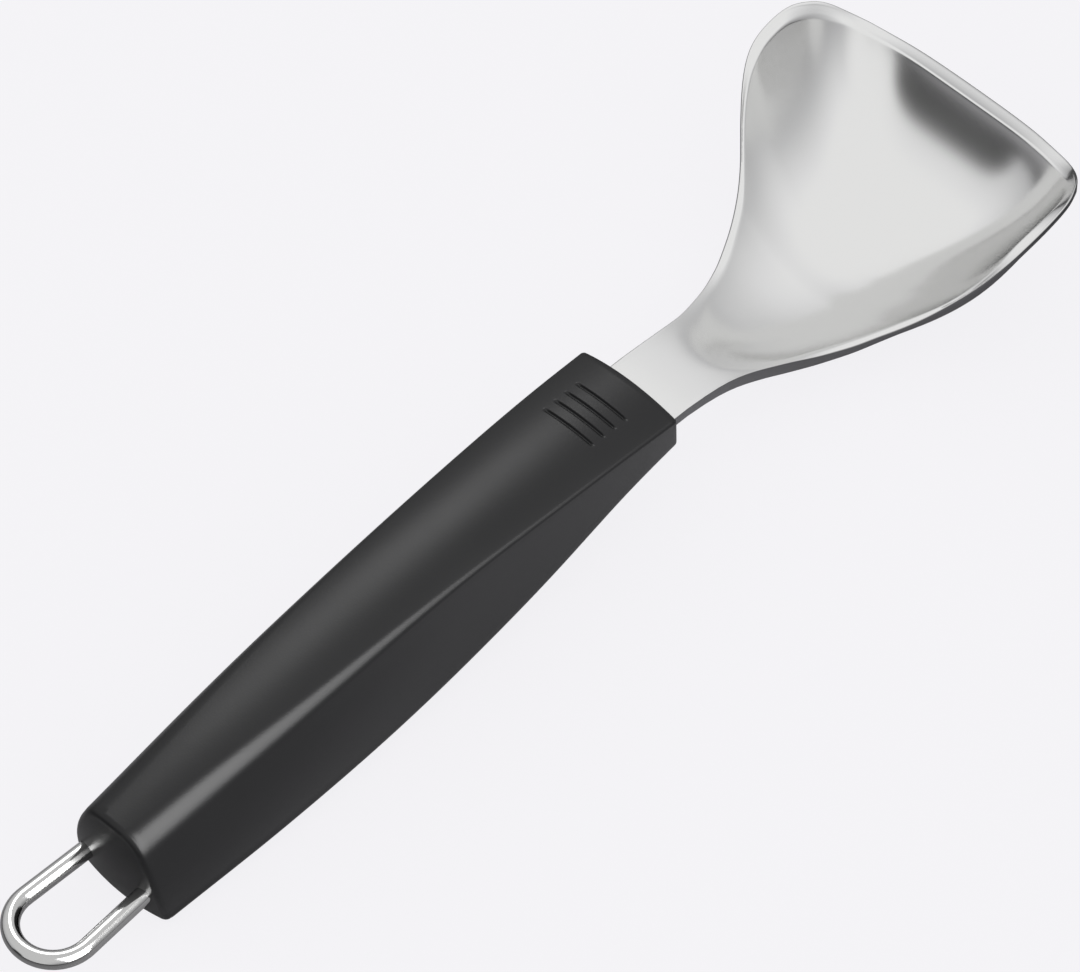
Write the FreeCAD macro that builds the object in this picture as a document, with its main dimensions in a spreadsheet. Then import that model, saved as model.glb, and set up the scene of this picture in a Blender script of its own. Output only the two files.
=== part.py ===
"""Ice cream scoop: a pressed steel head, a moulded handle and a wire hanging loop.

All three pieces are drawn from one natural reference point, the middle of the collar's top
edge, where the head leaves the handle. X runs forward to the dish, Y to the left, Z up.
"""
import FreeCAD, Part
import math
import os
import Sketcher

V = FreeCAD.Vector
Y_AXIS = V(0, 1, 0)
doc = FreeCAD.newDocument("ice_cream_scoop")

# Sizes in millimetres and degrees
SIZES = {
    "sheet": (2.2, "thickness of the pressed sheet"),
    "neck_half": (7.85, "half width of the neck at the collar"),
    "tang_long": (45.0, "length of the neck held inside the handle"),
    "head_reach": (88.4, "collar to the middle of the front lip"),
    "head_half": (32.8, "half width of the dish over its rim"),
    "dish_low": (21.3, "underside of the dish below the collar top"),
    "lip_side": (1.7, "width of the ground rim at the sides"),
    "lip_front": (3.5, "width of the ground rim at the front"),
    "grip_long": (123.4, "length of the handle at its corners"),
    "grip_pitch": (5.98, "climb of the handle towards the dish"),
    "grip_dome": (1.6, "bulge of the tail end face"),
    "collar_round": (0.7, "rounding of the collar's edge"),
    "tail_round": (1.2, "rounding of the tail's edge"),
    "corner_round": (2.0, "rounding along the handle's lower corners"),
    "groove_half": (5.6, "half length of a thumb groove"),
    "groove_thick": (0.8, "width of a thumb groove"),
    "groove_pitch": (2.65, "spacing of the thumb grooves"),
    "groove_first": (7.0, "first thumb groove behind the collar"),
    "groove_bend": (25.0, "radius that a thumb groove follows"),
    "groove_lean": (28.0, "forward lean of a groove's arc"),
    "wire_thick": (3.3, "thickness of the loop's wire"),
    "loop_low": (13.5, "loop below the collar top"),
    "leg_half": (6.6, "half spacing of the legs at the end face"),
    "leg_free": (14.0, "length of a leg outside the handle"),
    "leg_held": (12.0, "length of a leg inside the handle"),
    "leg_splay": (2.8, "outward lean of each leg"),
}
sheet_of_sizes = doc.addObject("Spreadsheet::Sheet", "Sizes")
for row, (name, (value, meaning)) in enumerate(SIZES.items(), start=1):
    sheet_of_sizes.set("A%d" % row, meaning)
    sheet_of_sizes.set("B%d" % row, str(value))
    sheet_of_sizes.setAlias("B%d" % row, name)
doc.recompute()


def size(name):
    """Return one driving size from the sheet."""
    return float(sheet_of_sizes.get(name))


def plane(body, role):
    """Return the body's own origin plane with this role."""
    return [f for f in body.Origin.OriginFeatures if f.Role == role][0]


def sketch_on(body, name, role, offset=None):
    """Add a sketch to the body on its origin plane, moved by the offset."""
    sketch = body.newObject("Sketcher::SketchObject", name)
    sketch.AttachmentSupport = [(plane(body, role), "")]
    sketch.MapMode = "FlatFace"
    if offset is not None:
        sketch.AttachmentOffset = offset
    return sketch


def spline(points, even=False):
    """Return a smooth curve through flat points given as pairs.

    Sections of one loft are spaced evenly along their own length, so that they share it.
    """
    curve = Part.BSplineCurve()
    flat = [V(a, b, 0) for a, b in points]
    if even:
        curve.interpolate(Points=flat, Parameters=[n / (len(flat) - 1) for n in range(len(flat))])
    else:
        curve.interpolate(flat)
    return curve


def outline(sketch, corners):
    """Draw straight lines through the corners, left open at the end."""
    for start, end in zip(corners[:-1], corners[1:]):
        sketch.addGeometry(Part.LineSegment(V(*start, 0), V(*end, 0)), False)


def pad_or_pocket(body, kind, name, sketch, length):
    """Add a feature that goes the same distance to both sides of its sketch."""
    feature = body.newObject("PartDesign::" + kind, name)
    feature.Profile = sketch
    feature.SideType = "Symmetric"
    feature.setExpression("Length", length)
    doc.recompute()
    return feature


# Shape of the head
REACH = size("head_reach") / 88.4
WIDE = size("head_half") / 32.8
SHEET = size("sheet")
TOP = 14.0
RISE_OF_TOP = [
    (1.2, -3.65), (5.0, -3.9), (9.4, -4.5), (13.5, -5.25), (17.7, -6.35), (22, -7.85),
    (26.4, -9.3), (30.1, -10.5), (33.5, -11.4), (36.5, -11.85), (40, -11.9), (44, -11.3),
    (47.5, -10.4), (50.8, -8.8), (54, -6.0), (56.6, -2.8), (59.3, 1.1), (61.6, 4.3),
    (64, 6.9), (66.5, 8.5), (69.2, 9.4), (72.2, 10.0), (75, 10.2), (78, 9.8), (81.7, 8.1),
    (84.3, 5.6), (86.5, 3.8), (88.4, 2.6), (92, 0.8)]
HALF_OUTLINE = [
    (9.4, 7.9), (13.5, 8.0), (17.7, 8.3), (22, 8.95), (26.4, 10.1), (30.1, 11.25),
    (33.5, 12.55), (37, 14.0), (40, 15.45), (43.7, 17.3), (47.5, 19.5), (50.8, 21.7),
    (54.8, 25.0), (58.2, 28.2), (60.4, 30.0), (62.8, 31.5), (66.5, 32.6), (70, 32.8),
    (73, 32.65), (76.6, 31.8), (79.3, 30.4), (81.7, 28.5), (84.4, 25.6), (86.5, 20.4),
    (87.7, 14.8), (88.2, 9.5)]
EDGE = [
    (0, SHEET), (3, SHEET), (9.4, 2.3), (17.7, 2.7), (24, 2.8), (30, 2.5), (36, 2.0), (43.7, 1.4),
    (49, 1.15), (55, 1.3), (62, 1.4), (200, 1.4)]
RUNNER = [
    (17, -5.0, 12.5, 20.0), (19.3, -6.95, 13.0, 24.0), (22, -9.0, 14.8, 28.0),
    (25, -10.8, 18.2, 30.0), (28, -12.3, 20.0, 29.6), (33, -14.3, 21.8, 27.6),
    (39, -16.2, 23.2, 26.4), (45, -17.5, 24.4, 25.7), (52, -18.1, 26.3, 27.2),
    (57, -16.9, 28.0, 28.6), (62, -13.0, 29.5, 30.0), (68, -4.0, 31.0, 31.0),
    (76, 12.0, 31.0, 31.0), (92, 50.0, 31.0, 31.0)]
BLEND = 2.4


def between(table, x, column):
    """Read a column of the table at x, on straight lines between its rows."""
    for low, high in zip(table[:-1], table[1:]):
        if x <= high[0]:
            part = (x - low[0]) / (high[0] - low[0])
            return low[column] + (high[column] - low[column]) * part
    return table[-1][column]


def ease(value):
    """Return 0 below 0, 1 above 1 and a smooth step between."""
    held = min(max(value, 0.0), 1.0)
    return held * held * (3.0 - 2.0 * held)


class Dish:
    """One face of the dish, inside or outside, as a height over the plan."""

    def __init__(self, low, back, front, half, depth, drop, column):
        self.low, self.back, self.front = low, back * REACH, front * REACH
        self.half, self.depth = half * WIDE, depth
        self.drop, self.column = drop, column

    def bowl(self, x, y):
        """Height of the round part of the dish."""
        beyond = x - MIDDLE
        reach = self.back + (self.front - self.back) * ease(beyond / (18.0 * REACH))
        along, across = beyond / reach, abs(y) / self.half
        power = 2.0 + 2.1 * max(along, 0.0)
        spread = (abs(along) ** power + across ** power) ** (1.0 / power)
        if spread >= 0.98:
            return self.depth - self.low + (spread - 1.0) * 200.0
        return self.depth - self.low - self.depth * math.sqrt(1.0 - spread * spread)

    def runner(self, x, y):
        """Height of the channel that leads from the neck down into the dish."""
        floor = between(RUNNER, x / REACH, 1) - self.drop
        bend = between(RUNNER, x / REACH, self.column) * WIDE
        return floor + y * y / (2.0 * bend) + (y / bend) ** 4 * bend / 8.0

    def height(self, x, y):
        """Height of the face, with the channel and the round part blended."""
        a, b = self.bowl(x, y), self.runner(x, y)
        mix = max(BLEND - abs(a - b), 0.0) / BLEND
        return min(a, b) - mix * mix * BLEND / 4.0

    def edge(self, x):
        """Half width of the face where it reaches the top level."""
        near, far = 0.0, 60.0
        for _ in range(40):
            half = (near + far) / 2.0
            if self.height(x, half) < TOP:
                near = half
            else:
                far = half
        return near


MIDDLE = 57.87 * REACH
low = size("dish_low")
outside = Dish(low, 34.25, 39.2, 38.8, 60.0, SHEET, 3)
inside = Dish(low - SHEET, 34.25 - SHEET - 0.4, 39.2 - size("lip_front"),
              38.8 - size("lip_side"), 60.0 - SHEET, 0.0, 2)


def dish_loft(body, kind, name, dish, stations):
    """Loft the space above one face of the dish through cross sections along X."""
    sections = []
    reached = [x * REACH for x in stations if dish.height(x * REACH, 0.0) < TOP - 1.0]
    for number, x in enumerate(reached):
        half = dish.edge(x)
        sketch = sketch_on(body, "%sSection%d" % (name, number), "YZ_Plane",
                           FreeCAD.Placement(V(0, 0, x), FreeCAD.Rotation()))
        across = [math.sin(math.radians(a)) / math.sin(math.radians(66))
                  for a in range(-66, 67, 11)]
        points = [(half * s, dish.height(x, half * s)) for s in across]
        points[0], points[-1] = (-half, TOP), (half, TOP)
        sketch.addGeometry(spline(points, even=True), False)
        sketch.addGeometry(Part.LineSegment(V(half, TOP, 0), V(-half, TOP, 0)), False)
        sections.append(sketch)
    feature = body.newObject("PartDesign::" + kind, name)
    feature.Profile = sections[0]
    feature.Sections = sections[1:]
    doc.recompute()
    return feature


# Head: flat neck and tang, dish, rim
head = doc.addObject("PartDesign::Body", "scoop_head")
head.Label = "scoop_head"
tang = size("tang_long")
top_line = [(x * REACH, z) for x, z in RISE_OF_TOP]
edge_line = [(x * REACH, z - between(EDGE, x, 1)) for x, z in RISE_OF_TOP if x < 52]
neck_top = top_line[0][1]

plate = sketch_on(head, "PlateSide", "XZ_Plane")
plate.addGeometry(spline(edge_line), False)
outline(plate, [edge_line[-1], (edge_line[-1][0], TOP), (-tang, TOP),
                (-tang, edge_line[0][1]), edge_line[0]])
pad_or_pocket(head, "Pad", "Plate", plate, "1.36 * Sizes.head_half")

dish_loft(head, "AdditiveLoft", "DishOutside", outside,
          [17, 19.3, 23, 27, 32, 38, 44, 50, 56, 62, 68, 74, 79, 83, 86.5, 89, 91])

plan = sketch_on(head, "Outline", "XY_Plane")
half_line = [(2.0, size("neck_half"))] + [(x * REACH, y * WIDE) for x, y in HALF_OUTLINE]
whole = half_line + [(size("head_reach"), 0.0)] + [(x, -y) for x, y in reversed(half_line)]
plan.addGeometry(spline(whole), False)
neck_half = size("neck_half")
outline(plan, [whole[-1], (-tang, -neck_half), (-tang, neck_half), whole[0]])
far = 200.0
outline(plan, [(-far, -far), (far, -far), (far, far), (-far, far), (-far, -far)])
pad_or_pocket(head, "Pocket", "TrimOutline", plan, "200 mm")

above = sketch_on(head, "AboveRim", "XZ_Plane")
above.addGeometry(spline(top_line), False)
outline(above, [top_line[-1], (far, top_line[-1][1]), (far, far), (-far, far),
                (-far, neck_top), top_line[0]])
pad_or_pocket(head, "Pocket", "TrimRim", above, "200 mm")

before = head.Shape.Volume
dish_loft(head, "SubtractiveLoft", "DishInside", inside,
          [16, 19.3, 23, 27, 32, 38, 44, 50, 56, 62, 68, 74, 79, 83, 86, 88, 89.2])
print("dish hollow cut", round(before - head.Shape.Volume))


# Handle
GRIP = size("grip_long") / 123.4
GRIP_SECTIONS = [
    (0, 1.1, -7.3, 11.0, 10.4, 0.9, 2.1), (-12.5, 3.5, -7.75, 10.7, 10.8, 0.9, 2.1),
    (-18, 4.5, -8.5, 10.5, 10.9, 0.9, 2.1), (-24, 5.4, -9.5, 10.3, 11.0, 1.0, 2.0),
    (-30, 6.2, -10.4, 10.1, 11.1, 1.0, 2.0), (-38, 7.35, -11.2, 9.75, 11.3, 1.1, 1.9),
    (-47, 8.4, -11.7, 9.4, 11.5, 1.3, 1.8), (-60, 9.6, -11.5, 9.0, 12.0, 1.9, 1.6),
    (-74, 10.5, -10.7, 8.6, 12.4, 2.7, 1.4), (-89, 11.3, -9.8, 8.0, 12.3, 3.6, 1.2),
    (-102, 11.9, -9.0, 7.2, 11.9, 4.4, 1.0), (-127, 12.3, -7.6, 5.8, 10.4, 5.1, 0.7)]


def corner(foot, head_end, centre_z, radius, r):
    """Round the corner between a straight side and a crowned face.

    The side runs from foot to head_end; the crown's circle has its centre on the middle
    line at centre_z. Returns where the rounding leaves the side, its middle and where it
    meets the crown.
    """
    run = V(head_end[0] - foot[0], head_end[1] - foot[1], 0)
    run.normalize()
    inward = V(-abs(run.y), run.x * (1 if run.y > 0 else -1), 0)
    hub = V(0, centre_z, 0)
    start = V(foot[0], foot[1], 0) + inward * r - hub
    b, c = start.dot(run), start.dot(start) - (radius - r) ** 2
    centre = hub + start + run * (-b + math.sqrt(b * b - c))
    on_side = centre - inward * r
    outward = centre - hub
    outward.normalize()
    on_crown = hub + outward * radius
    middle = (on_side - centre) + (on_crown - centre)
    middle.normalize()
    return on_side, centre + middle * r, on_crown


def grip_section(sketch, top_z, low_z, top_half, low_half, shoulder, crown):
    """Draw one closed section: crowned top, leaning sides, crowned underside."""
    belly = 0.8
    foot, peak = (low_half, low_z), (top_half, top_z)
    top_r = (top_half ** 2 + crown ** 2) / (2 * crown)
    low_r = (low_half ** 2 + belly ** 2) / (2 * belly)
    upper = corner(foot, peak, top_z + crown - top_r, top_r, shoulder)
    lower = corner(peak, foot, low_z - belly + low_r, low_r, size("corner_round"))

    def flip(p):
        return V(-p.x, p.y, 0)

    for arc in (upper, lower):
        sketch.addGeometry(Part.Arc(*arc), False)
        sketch.addGeometry(Part.Arc(*[flip(p) for p in arc]), False)
    sketch.addGeometry(Part.Arc(upper[2], V(0, top_z + crown, 0), flip(upper[2])), False)
    sketch.addGeometry(Part.Arc(lower[2], V(0, low_z - belly, 0), flip(lower[2])), False)
    sketch.addGeometry(Part.LineSegment(upper[0], lower[0]), False)
    sketch.addGeometry(Part.LineSegment(flip(upper[0]), flip(lower[0])), False)


pitch = size("grip_pitch")
grip = doc.addObject("PartDesign::Body", "handle")
grip.Label = "handle"
sections = []
for number, (x, *rest) in enumerate(GRIP_SECTIONS):
    sketch = sketch_on(grip, "GripSection%d" % number, "YZ_Plane",
                       FreeCAD.Placement(V(0, 0, x * GRIP), FreeCAD.Rotation()))
    grip_section(sketch, *rest)
    sections.append(sketch)
moulding = grip.newObject("PartDesign::AdditiveLoft", "Moulding")
moulding.Profile = sections[0]
moulding.Sections = sections[1:]
moulding.Ruled = True
doc.recompute()


def end_face(name, x, bulge, away):
    """Turn one end of the handle to a low dome whose rim lies at x."""
    rim = 12.0
    sketch = sketch_on(grip, name + "Arc", "XZ_Plane")
    apex = x + away * bulge
    radius = (rim ** 2 + bulge ** 2) / (2 * bulge)
    fall = radius - math.sqrt(radius ** 2 - 16.0 ** 2)
    middle = radius - math.sqrt(radius ** 2 - 8.0 ** 2)
    sketch.addGeometry(Part.Arc(V(apex, 0, 0), V(apex - away * middle, 8, 0),
                                V(apex - away * fall, 16, 0)), False)
    beyond = apex + away * 12
    outline(sketch, [(apex - away * fall, 16), (apex - away * fall, 22), (beyond, 22),
                     (beyond, 0), (apex, 0)])
    turn = grip.newObject("PartDesign::Groove", name)
    turn.Profile = sketch
    turn.ReferenceAxis = (sketch, ["H_Axis"])
    turn.Angle = 360
    before = grip.Shape.Volume
    doc.recompute()
    print(name, "cut", round(before - grip.Shape.Volume))


end_face("TailFace", -size("grip_long"), size("grip_dome"), -1)


def edges_round_end(shape, x, reach):
    """Name the edges that run round one end of the handle, without the dome's seam."""
    found = []
    for number, edge in enumerate(shape.Edges, start=1):
        box = edge.BoundBox
        at_end = abs(box.XMin - x) < reach and abs(box.XMax - x) < reach
        if at_end and box.YLength > 0.05:
            found.append("Edge%d" % number)
    return found


for name, x, radius in (("TailEdge", -size("grip_long"), "tail_round"),
                        ("CollarEdge", 0.0, "collar_round")):
    tip = grip.Tip
    fillet = grip.newObject("PartDesign::Fillet", name)
    fillet.Base = (tip, edges_round_end(tip.Shape, x, 3.0))
    fillet.setExpression("Radius", "Sizes." + radius)
    doc.recompute()

# Slot for the tang, level while the handle climbs
slot = sketch_on(grip, "TangSlotSide", "XZ_Plane")
turn_back = FreeCAD.Rotation(Y_AXIS, pitch)
slot_corners = [(-tang, neck_top - SHEET), (8, neck_top - SHEET), (8, neck_top),
                (-tang, neck_top), (-tang, neck_top - SHEET)]
turned = [turn_back.multVec(V(x, 0, z)) for x, z in slot_corners]
outline(slot, [(p.x, p.z) for p in turned])
pad_or_pocket(grip, "Pocket", "TangSlot", slot, "2 * Sizes.neck_half")

# Thumb grooves across the crown
for number in range(4):
    x = -size("groove_first") - number * size("groove_pitch")
    crown_z = between([(-30, 8.3), (-12.5, 5.6), (0, 3.2)], x / GRIP, 1)
    lean = math.radians(size("groove_lean"))
    bend = size("groove_bend")
    centre = V(x - bend * math.sin(lean), 0, crown_z - bend * math.cos(lean) + 0.12)
    sweep = math.degrees(size("groove_half") / bend)
    groove = grip.newObject("PartDesign::SubtractiveTorus", "ThumbGroove%d" % (number + 1))
    groove.setExpression("Radius1", "Sizes.groove_bend")
    groove.setExpression("Radius2", "Sizes.groove_thick / 2")
    groove.Angle3 = 2 * sweep
    across = FreeCAD.Rotation(V(0, 0, 1), -sweep)
    upright = FreeCAD.Rotation(V(0, 1, 0), -90 + size("groove_lean"))
    groove.Placement = FreeCAD.Placement(centre, upright.multiply(across))
    doc.recompute()


# Loop of bent wire: two splayed legs held in the handle, joined by an arc
splay = math.radians(size("leg_splay"))
face = -size("grip_long") * math.cos(math.radians(pitch)) - 0.6
leg_end = (face + size("leg_held"), size("leg_half") - size("leg_held") * math.tan(splay))
leg_out = (face - size("leg_free"), size("leg_half") + size("leg_free") * math.tan(splay))
arc_radius = leg_out[1] / math.cos(splay)
apex = leg_out[0] - arc_radius * (1 + math.sin(splay))
level = FreeCAD.Placement(V(0, 0, -size("loop_low")), FreeCAD.Rotation())

loop = doc.addObject("PartDesign::Body", "hanging_loop")
loop.Label = "hanging_loop"
path = sketch_on(loop, "WirePath", "XY_Plane", level)
path.addGeometry(Part.LineSegment(V(*leg_end, 0), V(*leg_out, 0)), False)
path.addGeometry(Part.Arc(V(*leg_out, 0), V(apex, 0, 0), V(leg_out[0], -leg_out[1], 0)), False)
path.addGeometry(Part.LineSegment(V(leg_out[0], -leg_out[1], 0),
                                  V(leg_end[0], -leg_end[1], 0)), False)


def leg_place(side):
    """Place of one leg's held end, its Z axis along the leg and out of the handle."""
    along = V(-math.cos(splay), side * math.sin(splay), 0)
    return level.multiply(FreeCAD.Placement(V(leg_end[0], side * leg_end[1], 0),
                                            FreeCAD.Rotation(V(0, 0, 1), along)))


ring = sketch_on(loop, "WireRing", "XY_Plane", leg_place(1))
ring.addGeometry(Part.Circle(V(0, 0, 0), V(0, 0, 1), size("wire_thick") / 2), False)
ring.addConstraint(Sketcher.Constraint("Radius", 0, size("wire_thick") / 2))
ring.setExpression("Constraints[0]", "Sizes.wire_thick / 2")
wire = loop.newObject("PartDesign::AdditivePipe", "Wire")
wire.Profile = ring
wire.Spine = path
doc.recompute()

for name, side in (("LegHoleLeft", 1), ("LegHoleRight", -1)):
    hole = grip.newObject("PartDesign::SubtractiveCylinder", name)
    hole.setExpression("Radius", "Sizes.wire_thick / 2")
    hole.setExpression("Height", "Sizes.leg_held + 6")
    hole.Placement = FreeCAD.Placement(V(0, 0, 0), turn_back).multiply(leg_place(side))
    before = grip.Shape.Volume
    doc.recompute()
    print(name, "cut", round(before - grip.Shape.Volume))

# Placing: lowest point on Z 0, middle of the length and width over the origin
grip.Placement = FreeCAD.Placement(V(0, 0, 0), FreeCAD.Rotation(Y_AXIS, -pitch))
doc.recompute()
pieces = [head, grip, loop]
span = FreeCAD.BoundBox()
for piece in pieces:
    span.add(piece.Shape.optimalBoundingBox(False))
shift = V(-(span.XMin + span.XMax) / 2, 0, -span.ZMin)
for piece in pieces:
    piece.Placement.move(shift)
doc.recompute()

# Checks, then one file for each piece
for item in doc.Objects:
    if "Invalid" in item.State or "Error" in item.State:
        raise RuntimeError("%s did not rebuild: %s" % (item.Name, item.State))
for piece in pieces:
    shape = piece.Shape
    if shape.isNull() or not shape.isValid() or len(shape.Solids) != 1:
        raise RuntimeError("%s is not one sound solid" % piece.Label)
    print(piece.Label, "volume", round(shape.Volume), "box", shape.optimalBoundingBox(False))
print("shift", shift)
os.makedirs("parts", exist_ok=True)
for piece in pieces:
    piece.Shape.exportStep("parts/%s.step" % piece.Label)
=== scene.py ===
"""Ice cream scoop in its dressed form: satin pressed head, moulded handle, bent wire loop.

Shapes are worked out in millimetres from the middle of the collar's top edge, where the head
leaves the handle, with X towards the dish, Y to the left and Z up, and are then moved to the
frame's own origin.
"""
import logging
import math
from dataclasses import dataclass, field
from enum import Enum
from typing import Callable

import bmesh
import bpy
import numpy as np
from mathutils import Matrix, Vector


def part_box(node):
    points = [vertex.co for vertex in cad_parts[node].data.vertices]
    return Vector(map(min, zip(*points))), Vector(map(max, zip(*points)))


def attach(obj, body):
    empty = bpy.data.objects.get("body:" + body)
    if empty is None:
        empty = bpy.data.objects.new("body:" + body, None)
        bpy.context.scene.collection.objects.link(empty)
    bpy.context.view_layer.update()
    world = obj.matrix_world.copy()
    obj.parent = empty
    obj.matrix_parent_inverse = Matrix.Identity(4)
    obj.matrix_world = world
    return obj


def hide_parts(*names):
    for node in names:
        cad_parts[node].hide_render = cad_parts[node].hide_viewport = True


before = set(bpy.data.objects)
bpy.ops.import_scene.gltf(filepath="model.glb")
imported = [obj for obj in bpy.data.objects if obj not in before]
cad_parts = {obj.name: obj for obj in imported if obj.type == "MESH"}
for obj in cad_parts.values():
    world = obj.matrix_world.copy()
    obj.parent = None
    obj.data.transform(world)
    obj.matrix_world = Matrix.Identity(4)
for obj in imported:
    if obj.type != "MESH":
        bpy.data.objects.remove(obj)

log = logging.getLogger("scoop")
MM = 0.001
HALVINGS = 44
QUARTER = (0, 15, 30, 45, 60, 75, 90)


class Profile:
    """A smooth curve through a table of values, with even curvature from row to row."""

    def __init__(self, rows: tuple) -> None:
        """Fit the curve.

        Args:
            rows: pairs of place and value, in rising order of place.
        """
        self.x = np.array([row[0] for row in rows], float)
        self.y = np.array([row[1] for row in rows], float)
        gap = np.diff(self.x)
        slope = np.diff(self.y) / gap
        count = len(self.x)
        left, right = np.eye(count), np.zeros(count)
        for i in range(1, count - 1):
            left[i, i - 1:i + 2] = gap[i - 1], 2 * (gap[i - 1] + gap[i]), gap[i]
            right[i] = 6 * (slope[i] - slope[i - 1])
        self.bend = np.linalg.solve(left, right)

    def __call__(self, place: float) -> float:
        """Return the value at a place; beyond the table the curve runs on straight."""
        i = int(min(max(np.searchsorted(self.x, place) - 1, 0), len(self.x) - 2))
        gap = self.x[i + 1] - self.x[i]
        held = min(max(place, self.x[0]), self.x[-1])
        a, b = (self.x[i + 1] - held) / gap, (held - self.x[i]) / gap
        value = (a * self.y[i] + b * self.y[i + 1]
                 + ((a ** 3 - a) * self.bend[i] + (b ** 3 - b) * self.bend[i + 1]) * gap ** 2 / 6)
        if held == place:
            return float(value)
        run = ((self.y[i + 1] - self.y[i]) / gap
               + ((1 - 3 * a * a) * self.bend[i] + (3 * b * b - 1) * self.bend[i + 1]) * gap / 6)
        return float(value + run * (place - held))


def soft_min(a: float, b: float, reach: float) -> float:
    """Return the lower of two heights, with the corner between them rounded off."""
    mix = max(reach - abs(a - b), 0.0) / reach
    return min(a, b) - mix * mix * reach / 4


def ease(value: float) -> float:
    """Return 0 below 0, 1 above 1 and a smooth step between."""
    held = min(max(value, 0.0), 1.0)
    return held * held * (3 - 2 * held)


def find_edge(gap: Callable[[float], float], near: float, far: float) -> float:
    """Return where a rising gap passes zero, by halving the stretch between near and far."""
    for _ in range(HALVINGS):
        middle = (near + far) / 2
        if gap(middle) < 0:
            near = middle
        else:
            far = middle
    return near


@dataclass(frozen=True)
class DishFace:
    """One face of the dish as a height over its plan, for the inside or the outside.

    low is how far the deepest place lies below the collar's top edge. back, front and half are
    the bowl's reach behind its middle, ahead of it and to each side, and depth its height.
    drop is how far the runner lies below the inside's own, and bend its radius across. square
    is how much the plan fills out towards the front, over span of the reach.
    """

    low: float
    back: float
    front: float
    half: float
    depth: float
    drop: float
    square: float
    span: float
    bend: Profile
    middle: float = 57.87
    lengthen: float = 18.0
    steep: float = 0.985
    seam: float = 2.4
    floor: Profile = Profile((
        (17, -5.0), (19.3, -6.95), (22, -9.0), (25, -10.8), (28, -12.3), (33, -14.3),
        (39, -16.2), (45, -17.5), (52, -18.1), (57, -16.9), (62, -13.0), (68, -4.0),
        (76, 12.0), (92, 50.0)))

    def bowl(self, x: float, y: float) -> float:
        """Return the height of the round part of the dish, its wall straight above steep."""
        beyond = x - self.middle
        reach = self.back + (self.front - self.back) * ease(beyond / self.lengthen)
        along, across = beyond / reach, abs(y) / self.half
        power = 2.0 + self.square * ease(along / self.span)
        spread = (abs(along) ** power + across ** power) ** (1 / power)
        edge = self.steep
        if spread > edge:
            rim = math.sqrt(1 - edge * edge)
            return self.depth * (1 - rim) - self.low + (spread - edge) * self.depth * edge / rim
        return self.depth * (1 - math.sqrt(1 - spread * spread)) - self.low

    def height(self, x: float, y: float) -> float:
        """Return the height of the face, the runner from the neck blended into the bowl."""
        bend = self.bend(x)
        runner = self.floor(x) - self.drop + y * y / (2 * bend) + (y / bend) ** 4 * bend / 8
        return soft_min(self.bowl(x, y), runner, self.seam)


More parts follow.
